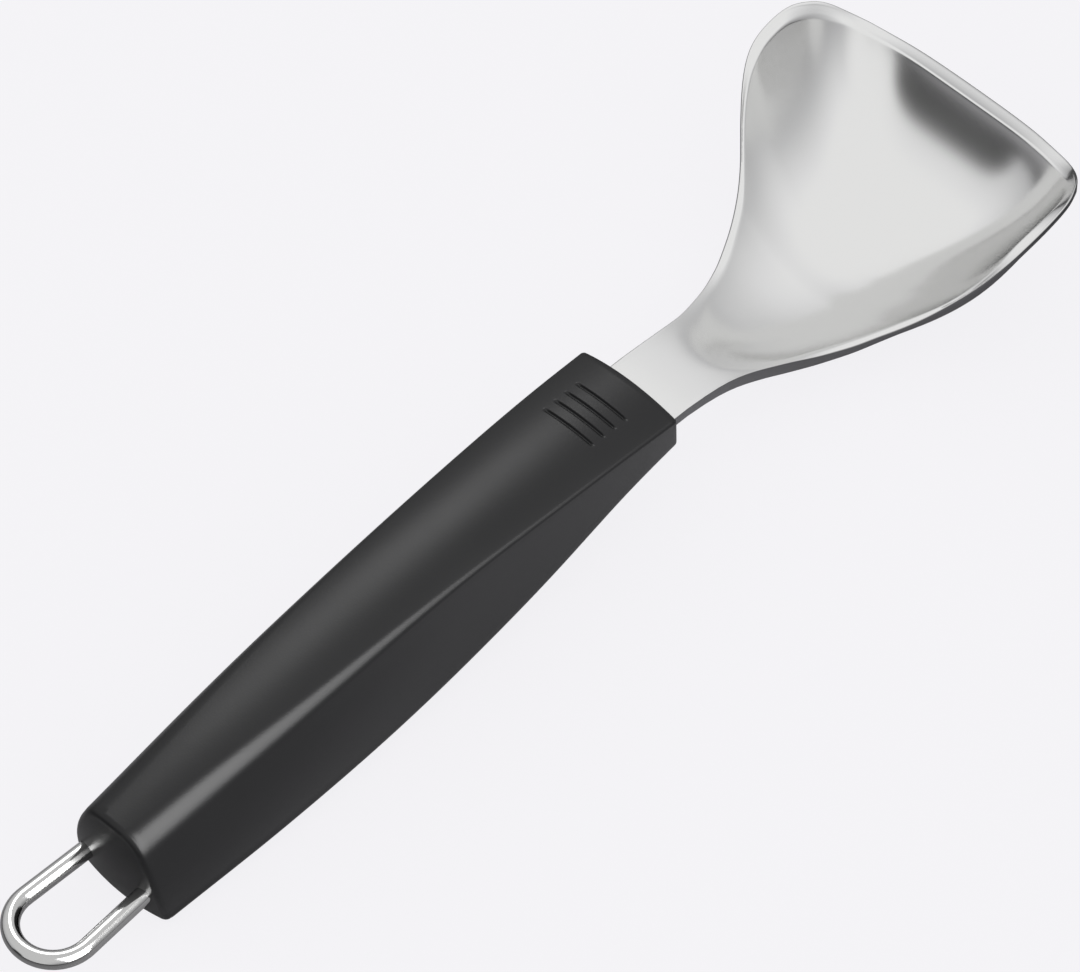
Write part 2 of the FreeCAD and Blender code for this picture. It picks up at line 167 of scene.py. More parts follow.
@dataclass(frozen=True)
class SheetForm:
    """The head's form: top line, outline, edge thickness and both faces of the dish.

    The tables run along X from the collar, but for lip, which gives the front edge's X by Y.
    The rim's inner edge dips below the top line from dip_from on. The edge between the rim and
    the dish has a rounding of rim_round, and of throat_round more where the dish begins.
    """

    inside: DishFace = DishFace(19.1, 31.65, 34.3, 36.5, 57.8, 0.0, 2.25, 0.62, Profile((
        (17, 12.5), (19.3, 13.0), (22, 14.8), (25, 18.2), (28, 20.0), (33, 21.8), (39, 23.2),
        (45, 24.4), (52, 26.3), (57, 28.0), (62, 29.5), (68, 31.0), (92, 31.0))))
    outside: DishFace = DishFace(21.3, 34.25, 39.2, 38.8, 60.0, 2.2, 1.9, 0.9, Profile((
        (17, 20.0), (19.3, 24.0), (22, 28.0), (25, 30.0), (28, 29.6), (33, 27.6), (39, 26.4),
        (45, 25.7), (52, 27.2), (57, 28.6), (62, 30.0), (68, 31.0), (92, 31.0))))
    tang_long: float = 45.0
    neck_half: float = 7.85
    hub: float = 52.0
    dip_from: float = 57.0
    dip_run: float = 5.0
    rim_round: float = 0.4
    throat_round: float = 2.4
    throat_from: float = 14.0
    throat_run: float = 18.0
    plate_long: float = 10.0
    under_round: float = 0.5
    lip_from: float = 78.0
    lip_half: float = 31.8
    top: Profile = Profile((
        (0, -3.6), (5.0, -3.9), (9.4, -4.5), (13.5, -5.25), (17.7, -6.35), (22, -7.85),
        (26.4, -9.3), (30.1, -10.5), (33.5, -11.4), (36.5, -11.85), (40, -11.9), (44, -11.3),
        (47.5, -10.4), (50.8, -8.8), (54, -6.0), (56.6, -2.8), (59.3, 1.1), (61.6, 4.3),
        (64, 6.9), (66.5, 8.5), (69.2, 9.4), (72.2, 10.0), (75, 10.2), (78, 9.8), (81.7, 8.1),
        (84.3, 5.6), (86.5, 3.8), (88.4, 2.6), (92, 0.8)))
    inner_top: Profile = Profile((
        (57, -2.25), (60, 2.0), (62, 4.7), (64, 6.5), (66, 7.7), (69, 8.55), (72, 8.85),
        (75, 8.4), (78, 7.35), (80, 6.3), (82.2, 5.0), (83.3, 4.3), (85.1, 3.5), (90, 2.0)))
    outline: Profile = Profile((
        (0, 7.85), (9.4, 7.9), (13.5, 8.0), (17.7, 8.3), (22, 8.95), (26.4, 10.1), (30.1, 11.25),
        (33.5, 12.55), (37, 14.0), (40, 15.45), (43.7, 17.3), (47.5, 19.5), (50.8, 21.7),
        (54.8, 25.0), (58.2, 28.2), (60.4, 30.0), (62.8, 31.5), (66.5, 32.6), (70, 32.8),
        (73, 32.65), (76.6, 31.8), (79.3, 30.4)))
    lip: Profile = Profile((
        (0, 88.4), (5, 88.35), (9.5, 88.2), (14.8, 87.7), (20.4, 86.5), (25.6, 84.4),
        (28.5, 81.7), (30.4, 79.3), (31.8, 76.6)))
    edge: Profile = Profile((
        (0, 2.2), (3, 2.2), (9.4, 2.3), (17.7, 2.7), (24, 2.8), (30, 2.5), (36, 2.0),
        (43.7, 1.4), (49, 1.15), (55, 1.3), (62, 1.4), (90, 1.4)))

    def rise(self, x: float) -> float:
        """Return the height of the top line, level over the tang."""
        return self.top(max(x, 0.0))

    def side(self, x: float) -> float:
        """Return the half width of the plan behind the dish's widest place."""
        return self.outline(x) if x > 0 else self.neck_half

    def dip(self, x: float) -> float:
        """Return how far the rim's inner edge at x lies below the top line."""
        return (self.inner_top(x) - self.rise(x)) * ease((x - self.dip_from) / self.dip_run)

    def upper(self, x: float, y: float, dip: float) -> float:
        """Return the height of the upper surface: neck, rim and dish with an eased edge."""
        throat = 1 - ease((x - self.throat_from) / self.throat_run)
        round_off = self.rim_round + self.throat_round * throat
        return soft_min(self.rise(x) + dip, self.inside.height(x, y), round_off)

    def under(self, x: float, y: float) -> float:
        """Return the height of the under surface."""
        plate = self.rise(x) - self.edge(max(x, 0.0))
        if x < self.plate_long:
            return plate
        return soft_min(self.outside.height(x, y), plate, self.under_round)

    def reach_out(self, turn: float) -> float:
        """Return how far the outline lies from the hub at one angle."""
        c, s = math.cos(turn), math.sin(turn)

        def beyond(r: float) -> float:
            x, y = self.hub + r * c, abs(r * s)
            if x > self.lip_from:
                return x - self.lip(y) if y < self.lip_half else 1.0
            return max(y - self.side(x), -x - self.tang_long)
        return find_edge(beyond, 0.0, 110.0)

    def reach_in(self, turn: float) -> float:
        """Return how far the dish's inner edge lies from the hub at one angle."""
        c, s = math.cos(turn), math.sin(turn)

        def beyond(r: float) -> float:
            x, y = self.hub + r * c, r * s
            return self.inside.height(x, y) - self.rise(x) - self.dip(x)
        return find_edge(beyond, 0.0, 60.0)


def spaced(start: float, end: float, count: int, crowd: float = 1.0) -> list[float]:
    """Return values from start to end, crowded towards the start by a power above 1."""
    return [start + (end - start) * ((i + 1) / count) ** crowd for i in range(count)]


class Piece:
    """A closed mesh grown ring by ring from a small circle."""

    def __init__(self, name: str, spokes: int) -> None:
        """Start a mesh.

        Args:
            name: name of the finished object.
            spokes: number of points round each ring.
        """
        self.name = name
        self.spokes = spokes
        self.mesh = bmesh.new()
        self.layer = self.mesh.verts.layers.int.new("spoke")
        # mark for the cut edge: it roughens the steel there and paints it dark as shade
        self.cut = self.mesh.verts.layers.float.new("cut_edge")
        self.ring: list = []

    def begin(self, points: list[Vector], middle: Vector) -> None:
        """Make the first ring and the fan inside it.

        Args:
            points: places of the ring's points.
            middle: place of the fan's middle point.
        """
        made = bmesh.ops.create_circle(self.mesh, cap_ends=True, cap_tris=True,
                                       radius=1.0, segments=self.spokes)
        rim = []
        for v in made["verts"]:
            if v.co.length > 0.5:
                turn = math.atan2(v.co.y, v.co.x) / math.tau
                v[self.layer] = round(turn * self.spokes) % self.spokes
                rim.append(v)
            else:
                v.co = middle
        self.ring = [e for e in self.mesh.edges if e.is_boundary]
        self.place(rim, points)

    def place(self, verts: list, points: list[Vector]) -> None:
        """Move ring points to their places by their spoke."""
        for v in verts:
            v.co = points[v[self.layer]]

    def grow(self, points: list[Vector], cut: float = 0.0) -> None:
        """Extrude the open ring and move the new one to its places.

        Args:
            points: places of the new ring's points.
            cut: 1 where the ring lies on a cut edge, which is rougher and has painted shade
            in its colour, 0 where it lies on a finished face.
        """
        made = bmesh.ops.extrude_edge_only(self.mesh, edges=self.ring)["geom"]
        fresh = {g for g in made if isinstance(g, bmesh.types.BMVert)}
        self.place(list(fresh), points)
        for v in fresh:
            v[self.cut] = cut
        self.ring = [g for g in made if isinstance(g, bmesh.types.BMEdge)
                     and g.verts[0] in fresh and g.verts[1] in fresh]

    def close(self, middle: Vector) -> None:
        """Extrude the open ring once more and draw it together in one point."""
        self.grow([middle] * self.spokes)
        verts = list({v for e in self.ring for v in e.verts})
        bmesh.ops.pointmerge(self.mesh, verts=verts, merge_co=middle)

    def finish(self, shift: Vector, turn: Matrix | None = None) -> bpy.types.Object:
        """Move the mesh into the frame and make it a smooth object.

        Args:
            shift: where the collar's top edge lies in the frame, in millimetres.
            turn: rotation about the collar's top edge, or None.

        Returns:
            The object, at the frame's origin, with its place in its mesh.
        """
        place = Matrix.Scale(MM, 4) @ Matrix.Translation(shift)
        if turn is not None:
            place = place @ turn
        bmesh.ops.transform(self.mesh, matrix=place, verts=self.mesh.verts)
        bmesh.ops.recalc_face_normals(self.mesh, faces=self.mesh.faces)
        for face in self.mesh.faces:
            face.smooth = True
        data = bpy.data.meshes.new(self.name)
        self.mesh.to_mesh(data)
        self.mesh.free()
        made = bpy.data.objects.new(self.name, data)
        bpy.context.scene.collection.objects.link(made)
        log.info("%s: %d faces", self.name, len(data.polygons))
        return made


@dataclass
class ScoopHead:
    """The pressed head: neck and tang, dish with a saddle-shaped rim.

    marks gives angles round the dish, each with the number of spokes up to it. rings gives the
    number of rings on the dish's inside, on the rim's flat and on the underside.
    """

    form: SheetForm = field(default_factory=SheetForm)
    crown: float = 0.32
    marks: tuple = ((2.60, 22), (1.75, 36), (0.55, 52), (0.0, 24))
    rings: tuple = (44, 26, 52)
    rim_steps: tuple = (-0.35, -0.2, -0.08, 0.05, 0.2, 0.4)

    def turns(self) -> list[float]:
        """Return the angles of the spokes, closer together where the outline turns."""
        form = self.form
        corner = math.atan2(form.neck_half, -form.tang_long - form.hub)
        collar = math.atan2(form.neck_half, -form.hub)
        half, start = [], math.pi
        for end, count in ((corner, 4), (collar, 14), *self.marks):
            half += [start + (end - start) * i / count for i in range(count)]
            start = end
        half.append(start)
        return half + [-a for a in half[-2:0:-1]]

    @staticmethod
    def evened(reach: list[float]) -> list[float]:
        """Return the distances with small unevenness from spoke to spoke taken out."""
        near = np.array(reach)
        return list((2 * near + np.roll(near, 1) + np.roll(near, -1)) / 4)

    def build(self, shift: Vector) -> bpy.types.Object:
        """Grow the head from the middle of the dish over the rim to the underside.

        Args:
            shift: where the collar's top edge lies in the frame, in millimetres.

        Returns:
            The head as one closed object.
        """
        form, turns = self.form, self.turns()
        inside, flat, underside = self.rings
        inner = self.evened([form.reach_in(t) for t in turns])
        outer = [form.reach_out(t) for t in turns]
        dips = [form.dip(form.hub + r * math.cos(t)) for t, r in zip(turns, inner)]
        piece = Piece("scoop_head_dressed", len(turns))

        def top(j: int, r: float) -> Vector:
            x, y = form.hub + r * math.cos(turns[j]), r * math.sin(turns[j])
            across = min(max((outer[j] - r) / (outer[j] - inner[j]), 0.0), 1.0)
            return Vector((x, y, form.upper(x, y, dips[j] * across)))

        def low(j: int, r: float) -> Vector:
            x, y = form.hub + r * math.cos(turns[j]), r * math.sin(turns[j])
            return Vector((x, y, form.under(x, y)))

        spokes = range(len(turns))
        piece.begin([top(j, inner[j] * 0.02) for j in spokes],
                    Vector((form.hub, 0, form.upper(form.hub, 0, 0.0))))
        for k in spaced(1.0, 0.02, inside, 1.35)[::-1][1:]:
            piece.grow([top(j, (inner[j] - 0.5) * k) for j in spokes])
        for step in self.rim_steps:
            piece.grow([top(j, inner[j] + step * min(1.0, (outer[j] - inner[j]) / 1.4))
                        for j in spokes])
        for k in spaced(0.0, 1.0, flat, 2.0)[:-1]:
            piece.grow([top(j, inner[j] + 0.45 + (outer[j] - inner[j] - 0.9) * k)
                        for j in spokes])
        self.wrap_edge(piece, turns, outer)
        for k in spaced(0.0, 1.0, underside, 1.5)[:-1]:
            piece.grow([low(j, (outer[j] - 0.3) * (1 - k)) for j in spokes])
        piece.close(Vector((form.hub, 0, form.under(form.hub, 0))))
        return piece.finish(shift)

    def wrap_edge(self, piece: Piece, turns: list[float], outer: list[float]) -> None:
        """Carry the sheet round its cut edge, with both corners eased.

        Args:
            piece: the mesh that grows.
            turns: angle of each spoke.
            outer: distance of the outline from the hub on each spoke.
        """
        form = self.form
        for lowered, degrees in ((False, 8), (False, 45), (False, 82), (True, 82), (True, 45),
                                 (True, 8)):
            ring = []
            for t, r in zip(turns, outer):
                x, y = form.hub + r * math.cos(t), r * math.sin(t)
                top, low = form.upper(x, y, 0.0), form.under(x, y)
                ease_off = min(self.crown, (top - low) / 2.5)
                phi = math.radians(degrees)
                inset = ease_off * (1 - math.sin(phi))
                drop = ease_off * (1 - math.cos(phi))
                back = r - inset
                z = low + drop if lowered else top - drop
                ring.append(Vector((form.hub + back * math.cos(t), back * math.sin(t), z)))
            # rings on the cut edge carry the mark that roughens them and paints them dark as shade
            piece.grow(ring, cut=1.0 if degrees > 30 or lowered else 0.0)


@dataclass
class Handle:
    """The moulded handle: crowned top, leaning sides, domed tail and thumb grooves.

    The tables run along X, which is 0 at the collar. The sides swell out by up to swell, from
    swell_from behind the collar on. steps gives the number of points on the crown's half, the
    shoulder, the side, the low corner and the belly's half, and rings the number of cross
    sections behind, over and ahead of the thumb grooves.
    """

    long: float = 123.4
    pitch: float = 5.98
    dome: float = 1.6
    dome_half: float = 12.0
    tail_middle: float = 2.0
    collar_middle: float = -3.0
    tail_round: float = 1.2
    collar_round: float = 0.7
    corner_round: float = 2.0
    belly: float = 0.8
    swell: float = 1.2
    swell_from: float = 45.0
    swell_run: float = 60.0
    groove_places: tuple = (7.0, 9.65, 12.3, 14.95)
    groove_half: float = 5.5
    groove_wide: float = 0.8
    groove_deep: float = 0.5
    groove_end: float = 0.35
    top_edge: Profile = Profile((
        (-127, 12.3), (-119, 12.2), (-102, 11.9), (-89, 11.3), (-74, 10.5), (-60, 9.6),
        (-47, 8.4), (-30, 6.2), (-12.5, 3.5), (0, 1.1)))
    low_edge: Profile = Profile((
        (-127, -7.6), (-119, -8.0), (-102, -9.0), (-89, -9.8), (-74, -10.7), (-60, -11.5),
        (-47, -11.7), (-30, -10.4), (-12.5, -7.75), (0, -7.3)))
    top_half: Profile = Profile((
        (-127, 5.8), (-119, 6.2), (-102, 7.2), (-89, 8.0), (-74, 8.6), (-60, 9.0),
        (-47, 9.4), (-30, 10.1), (-12.5, 10.7), (0, 11.0)))
    low_half: Profile = Profile((
        (-127, 10.4), (-119, 10.9), (-102, 11.9), (-89, 12.3), (-74, 12.4), (-60, 12.0),
        (-47, 11.5), (-30, 11.1), (-12.5, 10.8), (0, 10.4)))
    shoulder: Profile = Profile((
        (-127, 5.1), (-119, 5.0), (-102, 4.4), (-89, 3.6), (-74, 2.7), (-60, 1.9), (-47, 1.3),
        (-30, 1.0), (-12.5, 0.9), (0, 0.9)))
    crown: Profile = Profile((
        (-127, 0.7), (-119, 0.8), (-102, 1.0), (-89, 1.2), (-74, 1.4), (-60, 1.6), (-47, 1.8),
        (-30, 2.0), (-12.5, 2.1), (0, 2.1)))
    steps: tuple = (24, 10, 12, 10, 24)
    rings: tuple = (100, 110, 8)

    @staticmethod
    def corner(foot: Vector, peak: Vector, hub_z: float, radius: float, r: float) -> tuple:
        """Round the corner between a leaning side and a crowned face.

        Args:
            foot: end of the side that is kept.
            peak: end of the side at the sharp corner.
            hub_z: height of the middle of the crown's circle.
            radius: radius of the crown's circle.
            r: radius of the rounding.

        Returns:
            The rounding's centre, where it leaves the side and where it meets the crown.
        """
        run = (peak - foot).normalized()
        inward = Vector((-abs(run.y), run.x * (1 if run.y > 0 else -1)))
        hub = Vector((0.0, hub_z))
        start = foot + inward * r - hub
        b = start.dot(run)
        c = start.dot(start) - (radius - r) ** 2
        centre = hub + start + run * (math.sqrt(b * b - c) - b)
        return centre, centre - inward * r, hub + (centre - hub).normalized() * radius

    def section(self, x: float) -> list[Vector]:
        """Return the outline of one cross section.

        Args:
            x: place along the handle, 0 at the collar.

        Returns:
            Points from the middle of the top down the left side, and back up the right side.
        """
        top_z, low_z = self.top_edge(x), self.low_edge(x)
        peak, foot = Vector((self.top_half(x), top_z)), Vector((self.low_half(x), low_z))
        crown, belly = self.crown(x), self.belly
        top_r = (peak.x ** 2 + crown ** 2) / (2 * crown)
        low_r = (foot.x ** 2 + belly ** 2) / (2 * belly)
        top_hub, low_hub = top_z + crown - top_r, low_z - belly + low_r
        centre, leave, meet = self.corner(foot, peak, top_hub, top_r, self.shoulder(x))
        low_centre, low_leave, low_meet = self.corner(peak, foot, low_hub, low_r,
                                                      self.corner_round)

        def arc(mid: Vector, start: Vector, end: Vector, count: int) -> list[Vector]:
            a = math.atan2(start.y - mid.y, start.x - mid.x)
            b = math.atan2(end.y - mid.y, end.x - mid.x)
            if b - a > math.pi:
                b -= math.tau
            if a - b > math.pi:
                b += math.tau
            r = (start - mid).length
            return [mid + Vector((math.cos(a + (b - a) * i / count),
                                  math.sin(a + (b - a) * i / count))) * r for i in range(count)]

        half = arc(Vector((0, top_hub)), Vector((0, top_z + crown)), meet, self.steps[0])
        side = arc(centre, meet, leave, self.steps[1])
        side += [leave.lerp(low_leave, i / self.steps[2]) for i in range(self.steps[2])]
        swell = self.swell * ease((-x - self.swell_from) / self.swell_run)
        half += self.swelled(side, low_leave, swell)
        half += arc(low_centre, low_leave, low_meet, self.steps[3])
        half += arc(Vector((0, low_hub)), low_meet, Vector((0, low_z - belly)), self.steps[4])
        half.append(Vector((0, low_z - belly)))
        return half + [Vector((-p.x, p.y)) for p in half[-2:0:-1]]

    @staticmethod
    def swelled(side: list[Vector], end: Vector, swell: float) -> list[Vector]:
        """Let the side swell outwards, from the shoulder down to the low corner.

        The side leaves the shoulder's line smoothly, and from the share turn of its height on
        it has one even curvature.

        Args:
            side: points from the crown down to just above the low corner.
            end: point where the low corner begins.
            swell: how far the side stands proud half way down.

        Returns:
            The moved points.
        """
        length = (end - side[0]).length
        out = Vector((-(end - side[0]).y, (end - side[0]).x)).normalized()
        flare, turn = 11.3, 0.3
        bend = flare * turn * (2 - turn) / (1 - turn) ** 2
        moved = []
        for p in side:
            t = min(max((p - side[0]).dot(end - side[0]) / length ** 2, 0.0), 1.0)
            past = max(t - turn, 0.0)
            proud = flare * min(t, turn) ** 2 / 2 + past * (flare * turn - bend * past / 2)
            moved.append(p + out * swell * proud)
        return moved

    def groove(self, x: float, y: float, z: float) -> float:
        """Return how deep the thumb grooves cut the crown at a point."""
        if z < self.top_edge(x) or abs(y) > self.groove_half:
            return 0.0
        near = min(abs(-x - place) for place in self.groove_places)
        across = max(1 - (2 * near / self.groove_wide) ** 2, 0.0)
        return self.groove_deep * across * ease((self.groove_half - abs(y)) / self.groove_end)

    @staticmethod
    def inset(ring: list[Vector], distance: float) -> list[Vector]:
        """Draw a flat outline in by a distance, square to its own run."""
        count = len(ring)
        moved = []
        for i, p in enumerate(ring):
            run = (ring[(i + 1) % count] - ring[i - 1]).normalized()
            moved.append(p + Vector((-run.y, run.x)) * -distance)
        return moved

    def stations(self) -> list[float]:
        """Return the cross sections' places, close together over the thumb grooves."""
        behind, over, ahead = self.rings
        start = -self.groove_places[-1] - self.groove_wide
        end = -self.groove_places[0] + self.groove_wide
        places = [-self.long + self.tail_round]
        places += spaced(places[0], start, behind)
        places += spaced(start, end, over)
        places += spaced(end, -self.collar_round, ahead)
        return places

    def build(self, shift: Vector) -> bpy.types.Object:
        """Grow the handle from the middle of the tail to the middle of the collar.

        Args:
            shift: where the collar's top edge lies in the frame, in millimetres.

        Returns:
            The handle as one closed object.
        """
        tail = self.section(-self.long)
        piece = Piece("handle_dressed", len(tail))

        def domed(p: Vector) -> float:
            return -self.long - self.dome * (1 - (p.x * p.x + p.y * p.y) / self.dome_half ** 2)

        def flat_ring(points: list[Vector], x_of: Callable[[Vector], float]) -> list[Vector]:
            return [Vector((x_of(p), p.x, p.y)) for p in points]

        middle = Vector((0.0, self.tail_middle))
        held = self.inset(tail, self.tail_round)
        piece.begin(flat_ring([middle.lerp(p, 0.03) for p in held], domed),
                    Vector((domed(middle), 0, self.tail_middle)))
        for k in spaced(0.03, 1.0, 14, 0.8):
            piece.grow(flat_ring([middle.lerp(p, k) for p in held], domed))
        for degrees in QUARTER[1:]:
            phi = math.radians(degrees)
            ring = self.inset(tail, self.tail_round * (1 - math.sin(phi)))
            piece.grow([Vector((domed(h) + self.tail_round * (1 - math.cos(phi)), p.x, p.y))
                        for h, p in zip(held, ring)])
        for x in self.stations():
            piece.grow([Vector((x, p.x, p.y - self.groove(x, p.x, p.y)))
                        for p in self.section(x)])
        collar = self.section(0.0)
        for degrees in QUARTER[-2::-1]:
            phi = math.radians(degrees)
            ring = self.inset(collar, self.collar_round * (1 - math.sin(phi)))
            x = -self.collar_round * (1 - math.cos(phi))
            piece.grow(flat_ring(ring, lambda p: x))
        edge = self.inset(collar, self.collar_round)
        centre = Vector((0.0, self.collar_middle))
        for k in (0.8, 0.5, 0.2):
            piece.grow(flat_ring([centre.lerp(p, k) for p in edge], lambda p: 0.0))
        piece.close(Vector((0, 0, self.collar_middle)))
        return piece.finish(shift, Matrix.Rotation(math.radians(-self.pitch), 4, "Y"))


@dataclass
class HangingLoop:
    """The loop of bent wire: two legs that splay a little and a round end.

    level is the wire's height from the collar's top edge, face the X of the handle's tail,
    leg_half half the legs' distance there. free and held are the legs' lengths outside and
    inside the handle.
    """

    thick: float = 3.3
    level: float = -13.5
    face: float = -123.33
    leg_half: float = 6.6
    free: float = 14.0
    held: float = 12.0
    splay: float = 2.8
    ease_off: float = 0.96
    around: int = 32
    leg_steps: int = 14
    arc_steps: int = 48

    def route(self) -> list[tuple[Vector, Vector]]:
        """Return points along the wire's middle line, each with the way it heads."""
        lean = math.radians(self.splay)
        start = Vector((self.face + self.held, self.leg_half - self.held * math.tan(lean), 0))
        bend = Vector((self.face - self.free, self.leg_half + self.free * math.tan(lean), 0))
        heading = (bend - start).normalized()
        hub = Vector((bend.x - bend.y * math.tan(lean), 0, 0))
        reach = (bend - hub).length
        leg = [(start.lerp(bend, i / self.leg_steps), heading) for i in range(self.leg_steps)]
        first = math.atan2(bend.y, bend.x - hub.x)
        turn = 2 * (math.pi - first)
        arc = []
        for i in range(self.arc_steps + 1):
            angle = first + turn * i / self.arc_steps
            arc.append((hub + Vector((math.cos(angle), math.sin(angle), 0)) * reach,
                        Vector((-math.sin(angle), math.cos(angle), 0))))
        back = [(Vector((p.x, -p.y, 0)), Vector((-h.x, h.y, 0))) for p, h in reversed(leg)]
        return leg + arc + back

    def build(self, shift: Vector) -> bpy.types.Object:
        """Sweep the round wire along its route.

        Args:
            shift: where the collar's top edge lies in the frame, in millimetres.

        Returns:
            The wire as one closed object.
        """
        route = self.route()
        piece = Piece("hanging_loop_dressed", self.around)
        lift = Vector((0, 0, self.level))

        def ring(middle: Vector, heading: Vector, radius: float) -> list[Vector]:
            side = Vector((-heading.y, heading.x, 0))
            return [middle + lift + (side * math.cos(a) + Vector((0, 0, 1)) * math.sin(a)) * radius
                    for a in (math.tau * i / self.around for i in range(self.around))]

        radius = self.thick / 2
        start, end = route[0], route[-1]
        piece.begin(ring(*start, radius * 0.5), start[0] + lift)
        piece.grow(ring(*start, radius * self.ease_off))
        for middle, heading in route:
            piece.grow(ring(middle, heading, radius))
        piece.grow(ring(*end, radius * self.ease_off))
        piece.close(end[0] + lift)
        return piece.finish(shift)


class Wire:
    """A shader socket that takes part in arithmetic and adds Math nodes as it goes."""

    def __init__(self, graph: "Graph", socket: bpy.types.NodeSocket) -> None:
        """Hold the socket and the graph it belongs to."""
        self.graph, self.socket = graph, socket

    def join(self, operation: str, first: object, second: object) -> "Wire":
        """Add one Math node on two values or sockets."""
        return self.graph.add("ShaderNodeMath", {"operation": operation},
                              {0: first, 1: second})

    def __add__(self, other: object) -> "Wire":
        """Return this plus the other."""
        return self.join("ADD", self, other)

    def __sub__(self, other: object) -> "Wire":
        """Return this less the other."""
        return self.join("SUBTRACT", self, other)

    def __rsub__(self, other: object) -> "Wire":
        """Return the other less this."""
        return self.join("SUBTRACT", other, self)

    def __mul__(self, other: object) -> "Wire":
        """Return this times the other."""
        return self.join("MULTIPLY", self, other)

    __radd__ = __add__
    __rmul__ = __mul__


class Graph:
    """The nodes of one material or of the world."""

    def __init__(self, tree: bpy.types.NodeTree) -> None:
        """Empty the tree and start afresh."""
        self.tree = tree
        tree.nodes.clear()

    def add(self, kind: str, settings: dict | None = None, inputs: dict | None = None,
            output: int | str = 0) -> Wire:
        """Add a node.

        Args:
            kind: the node's type.
            settings: properties that are set before its sockets; "stops" fills a ramp.
            inputs: values or wires for its sockets, by name or number.
            output: the socket that the returned wire holds.

        Returns:
            The chosen output.
        """
        node = self.tree.nodes.new(kind)
        for name, value in (settings or {}).items():
            if name == "stops":
                ramp = node.color_ramp
                while len(ramp.elements) < len(value):
                    ramp.elements.new(0.5)
                for stop, (place, colour) in zip(ramp.elements, value):
                    stop.position, stop.color = place, colour
            else:
                setattr(node, name, value)
        for name, value in (inputs or {}).items():
            if isinstance(value, Wire):
                self.tree.links.new(value.socket, node.inputs[name])
            else:
                node.inputs[name].default_value = value
        return Wire(self, node.outputs[output])

    def end(self, kind: str, shader: Wire) -> None:
        """Lead a shader to an output node."""
        node = self.tree.nodes.new(kind)
        self.tree.links.new(shader.socket, node.inputs["Surface"])


class Finish:
    """A finish: a principled material on object coordinates."""

    name = "finish"

    def paint(self, graph: Graph, place: Wire) -> dict:
        """Return the shader's sockets for this finish."""
        raise NotImplementedError

    def material(self) -> bpy.types.Material:
        """Make the material."""
        made = bpy.data.materials.new(self.name)
        made.use_nodes = True
        graph = Graph(made.node_tree)
        place = graph.add("ShaderNodeTexCoord", output="Object")
        shader = graph.add("ShaderNodeBsdfPrincipled", inputs=self.paint(graph, place))
        graph.end("ShaderNodeOutputMaterial", shader)
        return made

    def dress(self, piece: bpy.types.Object) -> None:
        """Put the finish on a piece."""
        piece.data.materials.clear()
        piece.data.materials.append(self.material())


@dataclass(frozen=True)
class SatinSteel(Finish):
    """Stainless sheet with an even, fine satin grain."""

    name: str = "satin steel"
    face: tuple = (0.745, 0.745, 0.74, 1.0)
    # painted shade: the cut edge's dark tone stands in for the dark surroundings it reflects; the
    # steel is no darker there
    edge: tuple = (0.16, 0.16, 0.165, 1.0)
    rough: float = 0.17

    def paint(self, graph: Graph, place: Wire) -> dict:
        """Return the sockets: a fine even grain on the faces, a rougher cut edge darkened as
        painted shade.
        """
        cut = graph.add("ShaderNodeAttribute", {"attribute_name": "cut_edge"}, output="Fac")
        slow = graph.add("ShaderNodeTexNoise", inputs={"Vector": place, "Scale": 60.0,
                                                       "Detail": 3.0})
        fine = graph.add("ShaderNodeTexNoise", inputs={"Vector": place, "Scale": 5200.0,
                                                       "Detail": 2.0})
        # painted shade: the cut-edge mark darkens the base colour; it also raises the roughness
        tone = graph.add("ShaderNodeMix", {"data_type": "RGBA"},
                         {"Factor": cut, 6: self.face, 7: self.edge}, output=2)
        bump = graph.add("ShaderNodeBump", inputs={"Strength": 0.025, "Distance": 0.0001,
                                                   "Height": fine})
        return {"Base Color": tone, "Metallic": 1.0,
                "Roughness": self.rough + cut * 0.15 + (slow - 0.5) * 0.04
                + (fine - 0.5) * 0.04,
                "Normal": bump}


@dataclass(frozen=True)
class BlackPlastic(Finish):
    """Charcoal moulded plastic with a satin skin."""

    name: str = "black plastic"
    colour: tuple = (0.004, 0.004, 0.0043, 1.0)
    rough: float = 0.34
    shine: float = 0.25

    def paint(self, graph: Graph, place: Wire) -> dict:
        """Return the sockets: a fine moulded texture."""
        fine = graph.add("ShaderNodeTexNoise", inputs={"Vector": place, "Scale": 2600.0,
                                                       "Detail": 3.0})
        slow = graph.add("ShaderNodeTexNoise", inputs={"Vector": place, "Scale": 90.0,
                                                       "Detail": 2.0})
        bump = graph.add("ShaderNodeBump", inputs={"Strength": 0.12, "Distance": 0.0001,
                                                   "Height": fine})
        return {"Base Color": self.colour, "Roughness": self.rough + (slow - 0.5) * 0.05,
                "Specular IOR Level": self.shine, "Normal": bump}


@dataclass(frozen=True)
class PolishedWire(Finish):
    """Bright stainless wire."""

    name: str = "polished wire"
    colour: tuple = (0.5, 0.5, 0.495, 1.0)
    rough: float = 0.1

    def paint(self, graph: Graph, place: Wire) -> dict:
        """Return the sockets: near-mirror gloss with slight drawing marks."""
        slow = graph.add("ShaderNodeTexNoise", inputs={"Vector": place, "Scale": 400.0,
                                                       "Detail": 2.0})
        return {"Base Color": self.colour, "Metallic": 1.0,
                "Roughness": self.rough + (slow - 0.5) * 0.06}


